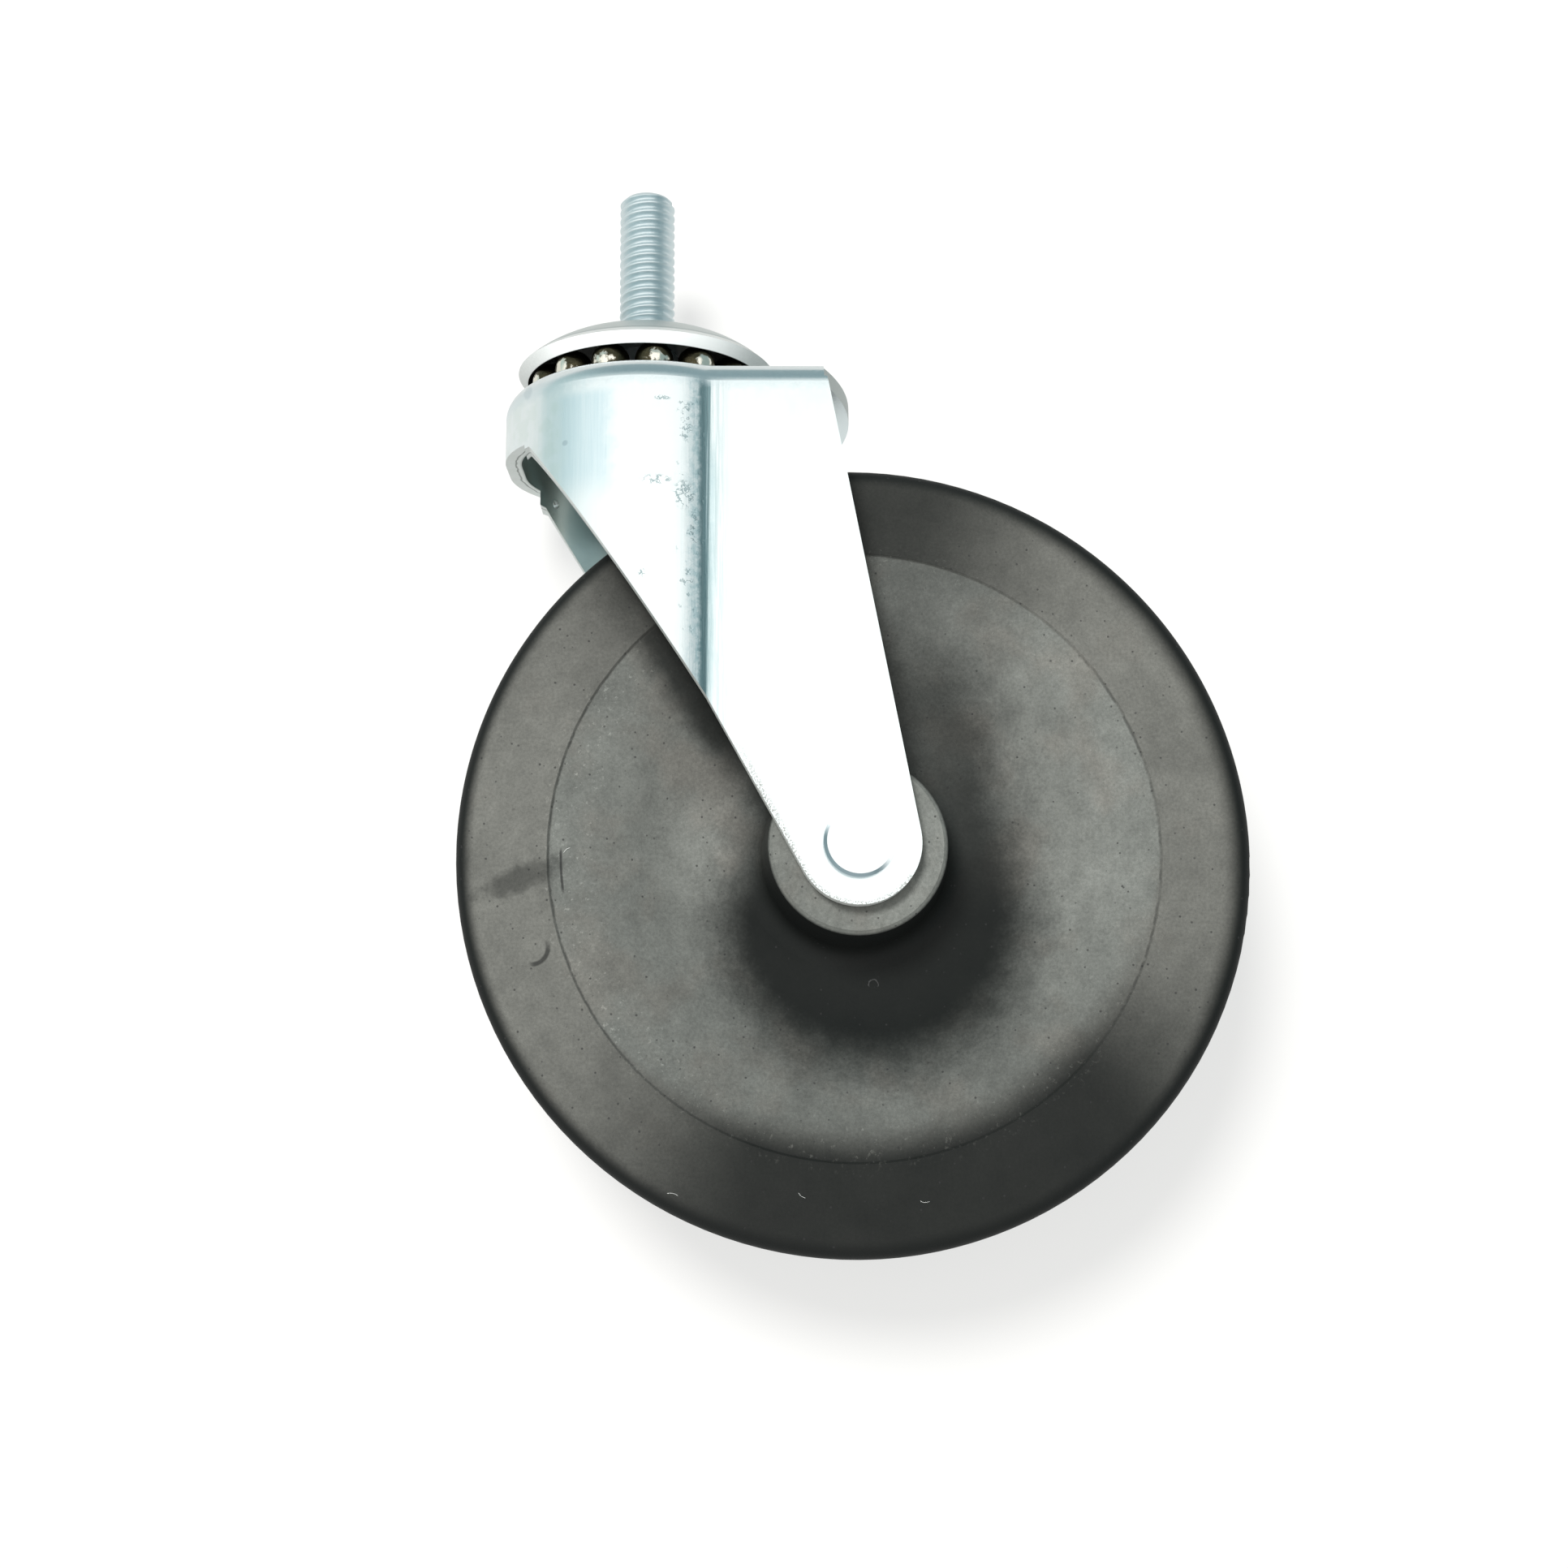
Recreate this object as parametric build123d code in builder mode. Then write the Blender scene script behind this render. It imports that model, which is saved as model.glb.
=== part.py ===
from build123d import *
from math import acos, asin, atan2, cos, degrees, radians, sin, sqrt, tan
import os

# Swivel caster with a threaded stem. Millimetres. +Z runs up the stem on the swivel axis,
# the origin is at the top of the stem's collar, and the wheel trails towards +X.

# Stem and kingpin, one turned piece
stem_dia = 9.525
stem_length = 25.4
tip_chamfer = 0.9
collar_dia = 12.6
collar_height = 1.0
collar_chamfer = 0.4
shank_dia = 10.6
tenon_dia = 9.0
rivet_dia = 13.4
rivet_height = 1.8

# Domed cap
cap_dia = 44.0
cap_sheet = 2.3
cap_drop = 6.3
collar_margin = 0.2

# Ball rows
upper_ball_dia = 6.35
upper_ball_count = 15
upper_track_dia = 34.6
upper_start = 12.0
lower_ball_dia = 4.7625
lower_ball_count = 12
lower_start = 0.0
ball_clearance = 0.25

# Crown of the fork, with its pressed race
fork_sheet = 2.7
groove_depth = 0.53
boss_rise = 2.2
lip_margin = 0.2
kingpin_clearance = 0.5
crown_corner_x = 29.4
crown_reach = 34.7

# Rounded nose of the fork
nose_radius = 24.2
nose_reach = 23.6
nose_bulge = 2.4
nose_wall = 10.6
trim_skew = 3.7
trim_end_x = -19.2
bend_inside = 0.9
crease_radius = 4.5

# Legs
throat_slope = 56.2
knee_x = 10.4
knee_rise = 23.1
leg_end_radius = 9.7
nick_radius = 0.8
nick_azimuth = 144.0
nick_drop = 11.0
nick_depth = 4.0

# Lower race
race_sheet = 2.2
race_brim = 1.24
race_inner_slope = 50.0
race_outer_slope = 35.0

# Wheel
crown_gap = 12.25
trail = 34.0
wheel_dia = 127.0
tread_width = 32.0
shoulder_radius = 3.0
parting_height = 0.2
parting_width = 0.7
ring_dia = 97.2
ring_groove = 0.35
dish_slope = 2.0
web_width = 17.6
web_shoulder_width = 27.0
web_shoulder_dia = 74.0
valley_dia = 43.0
hub_dia = 28.2
hub_draft = 1.2
hub_length = 44.4
hub_edge = 0.7
hub_fillet = 3.5

# Axle and its sleeve
axle_dia = 7.94
sleeve_dia = 11.1
axle_head_dia = 11.2
axle_head_height = 1.5
axle_head_edge = 0.5
hub_clearance = 0.4
axle_clearance = 0.05
sleeve_clearance = 0.08
press_clearance = 0.02

# How near a corner lies to where it is looked for
nearness = 0.01

# Cap, drawn by its upper line: flat under the collar, then one arc down to the rim
cap_top = -collar_height
cap_flat = collar_dia / 2 + collar_margin
cap_run = cap_dia / 2 - cap_flat
cap_arc = (cap_run**2 + cap_drop**2) / (2 * cap_drop)
cap_slope = asin(cap_run / cap_arc)
cap_centre_z = cap_top - cap_arc

# Upper balls sit against the inside of the cap's arc
upper_seat = upper_ball_dia / 2 + ball_clearance
upper_track = upper_track_dia / 2
upper_offset = cap_arc - cap_sheet - upper_seat
upper_ball_z = cap_centre_z + sqrt(upper_offset**2 - (upper_track - cap_flat) ** 2)

# Crown: its groove holds the upper balls, the corner of its boss covers the lower balls
crown_top = upper_ball_z - upper_seat + groove_depth
crown_bottom = crown_top - fork_sheet
boss_top = crown_top + boss_rise
lower_seat = lower_ball_dia / 2 + ball_clearance
boss_corner = lower_seat + fork_sheet
boss_slope = acos((upper_ball_z + boss_corner - boss_top) / (upper_seat + boss_corner))
lower_track = upper_track - (upper_seat + boss_corner) * sin(boss_slope)
lower_ball_z = boss_top - boss_corner
lip_corner = fork_sheet + lip_margin
lip_slope = acos((upper_ball_z - crown_top + lip_corner) / (upper_seat + lip_corner))
lip_radius = upper_track + (upper_seat + lip_corner) * sin(lip_slope)

# Lower race: its inner flat meets the shoulder of the shank
race_inner = lower_track - lower_seat * sin(radians(race_inner_slope))
race_seat = lower_ball_z - lower_seat * cos(radians(race_inner_slope))
race_back = race_seat - race_sheet

# Fork across the axle, and the centres of its rounded nose
axle_z = crown_bottom - crown_gap - wheel_dia / 2
leg_inside = hub_length / 2 + hub_clearance
leg_outside = leg_inside + fork_sheet
nose_x = nose_radius - nose_reach
nose_half_width = leg_outside + nose_bulge
crown_flat = leg_outside - fork_sheet - bend_inside
nose_y = nose_half_width - nose_radius
trim_z = crown_top - nose_wall
trim_tilt = nose_half_width * tan(radians(trim_skew))
knee = (knee_x, axle_z + knee_rise)
throat_end_x = knee_x - (trim_z - trim_tilt - knee[1]) / tan(radians(throat_slope))
fork_back = trail + 2 * leg_end_radius
fork_depth = crown_top - axle_z + leg_end_radius

# The axle's own plane: its first direction runs along the axle, its second straight up
axle_plane = Plane(origin=(trail, 0, axle_z), x_dir=(0, 1, 0), z_dir=(1, 0, 0))
axle_line = Axis((trail, 0, axle_z), (0, 1, 0))

os.makedirs("parts", exist_ok=True)


def on_arc(centre, radius, slope):
    # Point on a section's arc, at an angle from straight down, positive outwards
    return (centre[0] + radius * sin(slope), centre[1] - radius * cos(slope))


def finish(piece, name):
    piece.part.label = name
    export_step(piece.part, f"parts/{name}.step")


# Stem: thread blank, collar, kingpin shank and tenon, riveted over at the bottom
with BuildPart() as stem:
    with BuildSketch(Plane.XZ):
        with BuildLine():
            rivet_arc = ((rivet_dia / 2) ** 2 + rivet_height**2) / (2 * rivet_height)
            rivet_middle = (0, race_back - rivet_height + rivet_arc)
            rivet_bow = asin(rivet_dia / 2 / rivet_arc)
            Polyline(
                (0, race_back - rivet_height),
                (0, stem_length),
                (stem_dia / 2 - tip_chamfer, stem_length),
                (stem_dia / 2, stem_length - tip_chamfer),
                (stem_dia / 2, 0),
                (collar_dia / 2 - collar_chamfer, 0),
                (collar_dia / 2, -collar_chamfer),
                (collar_dia / 2, cap_top),
                (shank_dia / 2, cap_top),
                (shank_dia / 2, race_seat),
                (tenon_dia / 2, race_seat),
                (tenon_dia / 2, race_back),
                (rivet_dia / 2, race_back),
            )
            ThreePointArc(
                (rivet_dia / 2, race_back),
                on_arc(rivet_middle, rivet_arc, rivet_bow / 2),
                (0, race_back - rivet_height),
            )
        make_face()
    revolve(axis=Axis.Z)
finish(stem, "stem")

# Cap: pressed dome bored for the shank, its sheared rim square to the sheet
with BuildPart() as top_cap:
    with BuildSketch(Plane.XZ):
        with BuildLine():
            Line((shank_dia / 2 + press_clearance, cap_top), (cap_flat, cap_top))
            ThreePointArc(
                (cap_flat, cap_top),
                (cap_flat + cap_arc * sin(cap_slope / 2), cap_centre_z + cap_arc * cos(cap_slope / 2)),
                (cap_dia / 2, cap_top - cap_drop),
            )
            offset(amount=cap_sheet, side=Side.RIGHT)
        make_face()
    revolve(axis=Axis.Z)
finish(top_cap, "top_cap")


def ball_row(name, diameter, count, track, start, height):
    for number, place in enumerate(PolarLocations(track, count, start), start=1):
        with BuildPart(Plane(place).offset(height)) as ball:
            Sphere(diameter / 2)
        finish(ball, f"{name}_{number:02d}")


# Two rows of loose bearing balls
ball_row("upper_ball", upper_ball_dia, upper_ball_count, upper_track, upper_start, upper_ball_z)
ball_row("lower_ball", lower_ball_dia, lower_ball_count, lower_track, lower_start, lower_ball_z)

# Lower race: pressed ring with a groove under the lower balls
with BuildPart() as lower_race:
    with BuildSketch(Plane.XZ):
        with BuildLine():
            lower_middle = (lower_track, lower_ball_z)
            groove_end = on_arc(lower_middle, lower_seat, radians(race_outer_slope))
            Line((tenon_dia / 2 + press_clearance, race_seat), (race_inner, race_seat))
            ThreePointArc((race_inner, race_seat), on_arc(lower_middle, lower_seat, 0), groove_end)
            Line(groove_end, (groove_end[0] + race_brim, groove_end[1]))
            offset(amount=race_sheet, side=Side.RIGHT)
        make_face()
    revolve(axis=Axis.Z)
finish(lower_race, "lower_race")


def channel_block(inset):
    # Solid block with the fork's outside plan and bent edge, drawn in by a distance
    half = leg_outside - inset
    radius = nose_radius - inset
    crease_x = nose_x + sqrt(radius**2 - (half - nose_y) ** 2)
    crease_angle = degrees(atan2(half - nose_y, crease_x - nose_x))
    with BuildPart() as block:
        with BuildSketch(Plane.XY.offset(crown_top - inset)) as plan:
            with BuildLine():
                Line((fork_back, 0), (fork_back, half))
                Line((fork_back, half), (crease_x, half))
                CenterArc((nose_x, nose_y), radius, crease_angle, 180 - crease_angle)
                Line((nose_x - radius, nose_y), (nose_x - radius, 0))
                mirror(about=Plane.XZ)
            make_face()
            creases = plan.vertices().filter_by_position(Axis.X, crease_x - nearness, crease_x + nearness)
            fillet(creases, crease_radius + inset)
        extrude(amount=-fork_depth)
        bend = block.faces().sort_by(Axis.Z)[-1].edges().sort_by(Axis.X)[:-1]
        fillet(bend, bend_inside + fork_sheet - inset)
    return block.part


# Fork: one sheet folded into a channel, round at the nose and flat along the legs
with BuildPart() as fork:
    add(channel_block(0))
    add(channel_block(fork_sheet), mode=Mode.SUBTRACT)

    # Side view of the trimmed sheet: nose, slanted throat, tapered legs, rounded leg ends
    with BuildSketch(Plane.XZ):
        with Locations((trail, axle_z)):
            Circle(leg_end_radius)
        with BuildLine():
            Line(knee, (crown_corner_x, crown_top))
        make_hull()
        with BuildLine():
            Polyline(
                knee,
                (throat_end_x, trim_z - trim_tilt),
                (-nose_reach, trim_z - trim_tilt),
                (-nose_reach, crown_top),
                (crown_reach, crown_top),
                (crown_reach, crown_bottom),
                (crown_corner_x, crown_bottom),
                close=True,
            )
        make_face()
    extrude(amount=nose_half_width, both=True, mode=Mode.INTERSECT)

    # The nose is trimmed by its own cut, which sits a little askew and ends in a
    # step at the far throat
    with BuildSketch(Plane.YZ.offset(-nose_reach)):
        with BuildLine():
            Polyline(
                (-nose_half_width, trim_z - trim_tilt),
                (nose_half_width, trim_z - trim_tilt),
                (nose_half_width, trim_z + trim_tilt),
                close=True,
            )
        make_face()
    extrude(amount=trim_end_x + nose_reach, mode=Mode.SUBTRACT)

    # The back of the crown is cut to a shallow arc between the two bends
    with BuildSketch(Plane.XY.offset(crown_top)):
        with BuildLine():
            ThreePointArc((crown_corner_x, -crown_flat), (crown_reach, 0), (crown_corner_x, crown_flat))
            Polyline(
                (crown_corner_x, crown_flat),
                (crown_corner_x, leg_outside),
                (fork_back, leg_outside),
                (fork_back, -leg_outside),
                (crown_corner_x, -leg_outside),
                (crown_corner_x, -crown_flat),
            )
        make_face()
    extrude(amount=-fork_sheet, mode=Mode.SUBTRACT)

    # Pressed race: boss around the kingpin, its corner, the ball groove and the lip
    with BuildSketch(Plane.XY.offset(crown_top)):
        Circle(lip_radius)
    extrude(amount=-fork_sheet, mode=Mode.SUBTRACT)
    with BuildSketch(Plane.XZ):
        with BuildLine():
            upper_middle = (upper_track, upper_ball_z)
            corner_middle = (lower_track, lower_ball_z)
            lip_middle = (lip_radius, crown_top - lip_corner)
            groove_in = on_arc(upper_middle, upper_seat, -boss_slope)
            groove_out = on_arc(upper_middle, upper_seat, lip_slope)
            Line((shank_dia / 2 + kingpin_clearance, boss_top), (lower_track, boss_top))
            ThreePointArc(
                (lower_track, boss_top),
                on_arc(corner_middle, -boss_corner, -boss_slope / 2),
                groove_in,
            )
            ThreePointArc(groove_in, on_arc(upper_middle, upper_seat, 0), groove_out)
            ThreePointArc(
                groove_out,
                on_arc(lip_middle, -lip_corner, lip_slope / 2),
                (lip_radius, crown_top),
            )
            offset(amount=fork_sheet, side=Side.RIGHT)
        make_face()
    revolve(axis=Axis.Z)

    # Axle holes, and the nick that the trimming die left beside the throat
    with BuildSketch(Plane.XZ):
        with Locations((trail, axle_z)):
            Circle(axle_dia / 2 + axle_clearance)
    extrude(amount=nose_half_width, both=True, mode=Mode.SUBTRACT)
    outward = Vector(1, 0, 0).rotate(Axis.Z, nick_azimuth)
    nick_middle = Vector(nose_x, nose_y, crown_top - nick_drop) + outward * nose_radius
    with Locations(Plane(origin=nick_middle, z_dir=outward)):
        Cylinder(nick_radius, 2 * nick_depth, mode=Mode.SUBTRACT)
finish(fork, "fork")

# Axle: rivet with a low head on each leg
with BuildPart() as axle:
    with BuildSketch(axle_plane):
        with BuildLine():
            head_face = leg_outside + axle_head_height
            Polyline(
                (0, 0),
                (head_face, 0),
                (head_face, axle_head_dia / 2 - axle_head_edge),
                (head_face - axle_head_edge, axle_head_dia / 2),
                (leg_outside, axle_head_dia / 2),
                (leg_outside, axle_dia / 2),
                (0, axle_dia / 2),
            )
            mirror(about=Plane.YZ)
        make_face()
    revolve(axis=axle_line)
finish(axle, "axle")

# Sleeve: steel tube clamped between the legs
with BuildPart() as axle_sleeve:
    with BuildSketch(Plane.XZ):
        with Locations((trail, axle_z)):
            Circle(sleeve_dia / 2)
            Circle(axle_dia / 2 + axle_clearance, mode=Mode.SUBTRACT)
    extrude(amount=leg_inside, both=True)
finish(axle_sleeve, "axle_sleeve")

# Wheel: one moulding, drawn as half a section and mirrored across its middle
with BuildPart() as wheel:
    with BuildSketch(axle_plane) as section:
        with BuildLine():
            bore = sleeve_dia / 2 + sleeve_clearance
            tread = tread_width / 2
            ring = ring_dia / 2
            foot = (web_width / 2, hub_dia / 2 + hub_draft)
            ring_inside = (tread - ring_groove, ring)
            Polyline(
                (0, bore),
                (hub_length / 2, bore),
                (hub_length / 2, hub_dia / 2 - hub_edge),
                (hub_length / 2 - hub_edge, hub_dia / 2),
                foot,
                (web_width / 2, valley_dia / 2),
            )
            Spline(
                (web_width / 2, valley_dia / 2),
                (web_shoulder_width / 2, web_shoulder_dia / 2),
                ring_inside,
                tangents=[(0, 1), (sin(radians(dish_slope)), cos(radians(dish_slope)))],
            )
            Polyline(
                ring_inside,
                (tread, ring + ring_groove),
                (tread, wheel_dia / 2),
                (parting_width / 2, wheel_dia / 2),
                (0, wheel_dia / 2 + parting_height),
            )
            mirror(about=Plane.YZ)
        make_face()
        corners = section.vertices()
        feet = [v for v in corners if abs(abs(v.X) - foot[0]) < nearness and abs(v.Y - foot[1]) < nearness]
        fillet(feet, hub_fillet)
        edges = [v for v in section.vertices() if abs(abs(v.X) - tread) < nearness]
        shoulders = [v for v in edges if v.Y > wheel_dia / 2 - nearness]
        fillet(shoulders, shoulder_radius)
    revolve(axis=axle_line)
finish(wheel, "wheel")
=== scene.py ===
from math import cos, pi, radians, sin, sqrt

import bpy
from mathutils import Matrix, Vector


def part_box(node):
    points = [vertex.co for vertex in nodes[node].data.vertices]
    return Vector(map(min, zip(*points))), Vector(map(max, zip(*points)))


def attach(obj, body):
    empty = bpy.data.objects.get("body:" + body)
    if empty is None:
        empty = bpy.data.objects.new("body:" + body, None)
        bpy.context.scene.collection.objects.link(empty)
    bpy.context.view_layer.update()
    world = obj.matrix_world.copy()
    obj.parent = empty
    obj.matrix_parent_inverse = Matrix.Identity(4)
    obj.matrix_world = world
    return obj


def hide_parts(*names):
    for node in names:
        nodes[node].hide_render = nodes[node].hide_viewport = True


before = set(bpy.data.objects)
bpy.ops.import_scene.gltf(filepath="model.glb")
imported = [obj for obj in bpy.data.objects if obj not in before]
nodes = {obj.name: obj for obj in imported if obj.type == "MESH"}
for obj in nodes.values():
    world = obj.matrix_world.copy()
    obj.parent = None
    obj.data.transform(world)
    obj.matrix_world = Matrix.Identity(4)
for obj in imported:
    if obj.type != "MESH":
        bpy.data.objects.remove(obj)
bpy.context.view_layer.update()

# Camera: it looks square at the caster's side, from a little below the axle. In the photo the
# caster lies on a table. Here it stands upright, and the table stands behind it.
mm = 0.001
photo_width = 1932
focal_pixels = 2552.675
sensor = 36.0
camera_place = (13.167 * mm, -340.725 * mm, -139.697 * mm)
look = Vector((0.0288, 0.9838, 0.1768)).normalized()
side = look.cross(Vector((0.0028, -0.1770, 0.9842))).normalized()
above = side.cross(look)
camera_data = bpy.data.cameras.new("camera")
camera_data.sensor_width = sensor
camera_data.lens = sensor * focal_pixels / photo_width
camera_data.clip_start, camera_data.clip_end = 0.01, 20
camera = bpy.data.objects.new("camera", camera_data)
camera.matrix_world = Matrix((*zip(side, above, -look, camera_place), (0, 0, 0, 1)))
bpy.context.scene.collection.objects.link(camera)
bpy.context.scene.camera = camera


# Threaded stem: one turned steel blank, zinc plated. The stud's thread is rolled, so its
# crests are round and it dies out in a plain neck over the collar. The lower end is the
# kingpin, which is riveted over under the lower race.
class Signal:
    """A number, colour or vector on a node's output. Arithmetic on it adds Math nodes."""

    def __init__(self, graph, socket):
        self.graph, self.socket = graph, socket

    def __add__(self, other):
        return self.graph.math("ADD", self, other)

    def __sub__(self, other):
        return self.graph.math("SUBTRACT", self, other)

    def __rsub__(self, other):
        return self.graph.math("SUBTRACT", other, self)

    def __mul__(self, other):
        return self.graph.math("MULTIPLY", self, other)

    def __truediv__(self, other):
        return self.graph.math("DIVIDE", self, other)

    def __rtruediv__(self, other):
        return self.graph.math("DIVIDE", other, self)

    def __pow__(self, other):
        return self.graph.math("POWER", self, other)

    def __neg__(self):
        return self.graph.math("MULTIPLY", self, -1)

    def __abs__(self):
        return self.graph.math("ABSOLUTE", self)

    __radd__ = __add__
    __rmul__ = __mul__


class Graph:
    """A node tree, with one method that adds any node and short names for common ones."""

    def __init__(self, tree):
        self.tree = tree

    def node(self, kind, settings=None, inputs=None, output=0):
        made = self.tree.nodes.new(kind)
        for name, value in (settings or {}).items():
            setattr(made, name, value)
        for key, value in (inputs or {}).items():
            for one in value if isinstance(value, list) else [value]:
                if isinstance(one, Signal):
                    self.tree.links.new(one.socket, made.inputs[key])
                else:
                    made.inputs[key].default_value = one
        return Signal(self, made.outputs[output])

    def math(self, operation, *values):
        return self.node("ShaderNodeMath", {"operation": operation}, dict(enumerate(values)))

    def most(self, first, *others):
        """The largest of the values at each point."""
        for other in others:
            first = self.math("MAXIMUM", first, other)
        return first

    def step(self, value, low, high, start=0.0, end=1.0):
        """Smooth rise from start to end while the value goes from low to high."""
        inputs = {0: value, 1: low, 2: high, 3: start, 4: end}
        return self.node("ShaderNodeMapRange", {"interpolation_type": "SMOOTHSTEP"}, inputs)

    def band(self, value, middle, half, soft):
        """1 within half of the middle, falling to 0 over the soft distance."""
        return self.step(abs(value - middle), half, half + soft, 1.0, 0.0)

    def parts(self, vector):
        """The x, y and z of a vector."""
        split = self.node("ShaderNodeSeparateXYZ", None, {0: vector})
        return [Signal(self, socket) for socket in split.socket.node.outputs]

    def combine(self, x, y, z):
        return self.node("ShaderNodeCombineXYZ", None, {0: x, 1: y, 2: z})

    def blend(self, mask, one, other):
        """Colour one where the mask is 0, the other where it is 1."""
        inputs = {0: mask}
        for key, colour in ((6, one), (7, other)):
            inputs[key] = colour if isinstance(colour, Signal) else (*colour, 1)
        return self.node("ShaderNodeMix", {"data_type": "RGBA"}, inputs, 2)

    def coats(self, tone, *layers):
        """Lays colours over a tone in turn, each where its own mask is 1."""
        for mask, colour in layers:
            tone = self.blend(mask, tone, colour)
        return tone


class Finish(Graph):
    """A material on Object coordinates. Its own maths runs in millimetres."""

    def __init__(self, name, **constants):
        self.material = bpy.data.materials.new(name)
        self.material.use_nodes = True
        super().__init__(self.material.node_tree)
        self.shader = self.tree.nodes["Principled BSDF"]
        for socket, value in constants.items():
            self.shader.inputs[socket.replace("_", " ")].default_value = value
        metres = self.node("ShaderNodeTexCoord", output=3)
        self.place = self.vector("SCALE", metres, Scale=1 / mm)
        self.x, self.y, self.z = self.parts(self.place)

    def facing(self):
        """The x, y and z of the direction that the surface faces."""
        return self.parts(self.node("ShaderNodeTexCoord", output=1))

    def vector(self, operation, *values, **sockets):
        inputs = {**dict(enumerate(values)), **sockets}
        return self.node("ShaderNodeVectorMath", {"operation": operation}, inputs)

    def distance(self, one, other):
        """Distance from a line, from the two offsets across it."""
        return (one * one + other * other) ** 0.5

    def noise(self, size, detail=2.0, rough=0.5, at=None):
        """Noise from about 0 to 1, with blots of that size in millimetres."""
        inputs = {"Vector": at or self.place, "Scale": 1 / size, "Detail": detail, "Roughness": rough}
        return self.node("ShaderNodeTexNoise", None, inputs)

    def cells(self, size):
        """Distance from the nearest of many scattered points, in shares of the cell size."""
        return self.node("ShaderNodeTexVoronoi", None, {"Vector": self.place, "Scale": 1 / size})

    def wear(self, colour, rough=None, height=None, depth=0.02, metal=None):
        """Links the finished signals to the shader. The bump's depth is in millimetres."""
        for socket, signal in (("Base Color", colour), ("Roughness", rough), ("Metallic", metal)):
            if signal:
                self.tree.links.new(signal.socket, self.shader.inputs[socket])
        if height:
            inputs = {"Strength": 1.0, "Distance": depth * mm, "Height": height}
            bump = self.node("ShaderNodeBump", None, inputs)
            self.tree.links.new(bump.socket, self.shader.inputs["Normal"])
        return self.material


def turned(name, outline, columns=96):
    """Closed mesh turned about the swivel axis from (radius, height) points in millimetres."""
    ring = [(cos(2 * pi * c / columns), sin(2 * pi * c / columns)) for c in range(columns)]
    points = [(r * u * mm, r * v * mm, z * mm) for r, z in outline[1:-1] for u, v in ring]
    points += [(0, 0, outline[0][1] * mm), (0, 0, outline[-1][1] * mm)]
    faces = []
    last_row = len(outline) - 3
    for row in range(last_row):
        for c in range(columns):
            d = (c + 1) % columns
            low, high = row * columns, (row + 1) * columns
            faces.append((low + c, low + d, high + d, high + c))
    for c in range(columns):
        d = (c + 1) % columns
        faces.append((len(points) - 2, d, c))
        faces.append((len(points) - 1, last_row * columns + c, last_row * columns + d))
    mesh = bpy.data.meshes.new(name)
    mesh.from_pydata(points, [], faces)
    mesh.shade_smooth()
    mesh.set_sharp_from_angle(angle=radians(35))
    piece = bpy.data.objects.new(name, mesh)
    bpy.context.scene.collection.objects.link(piece)
    return piece


def grown(piece, tree_name, build, sizes):
    """Runs a Geometry Nodes tree with named sizes on a piece and keeps the result as its mesh."""
    tree = bpy.data.node_groups.new(tree_name, "GeometryNodeTree")
    tree.interface.new_socket("Geometry", in_out="INPUT", socket_type="NodeSocketGeometry")
    tree.interface.new_socket("Geometry", in_out="OUTPUT", socket_type="NodeSocketGeometry")
    for size in sizes:
        kind = "NodeSocketInt" if isinstance(sizes[size], int) else "NodeSocketFloat"
        tree.interface.new_socket(size, in_out="INPUT", socket_type=kind)
    graph = Graph(tree)
    entry = tree.nodes.new("NodeGroupInput")
    given = {socket.name: Signal(graph, socket) for socket in entry.outputs if socket.name}
    result = build(graph, given)
    leave = tree.nodes.new("NodeGroupOutput")
    tree.links.new(result.socket, leave.inputs[0])
    modifier = piece.modifiers.new(tree_name, "NODES")
    modifier.node_group = tree
    for socket in tree.interface.items_tree:
        if socket.in_out == "INPUT" and socket.name in sizes:
            modifier[socket.identifier] = sizes[socket.name]
    bpy.context.view_layer.update()
    evaluated = piece.evaluated_get(bpy.context.evaluated_depsgraph_get())
    mesh = bpy.data.meshes.new_from_object(evaluated)
    piece.modifiers.remove(modifier)
    piece.data = mesh


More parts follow.
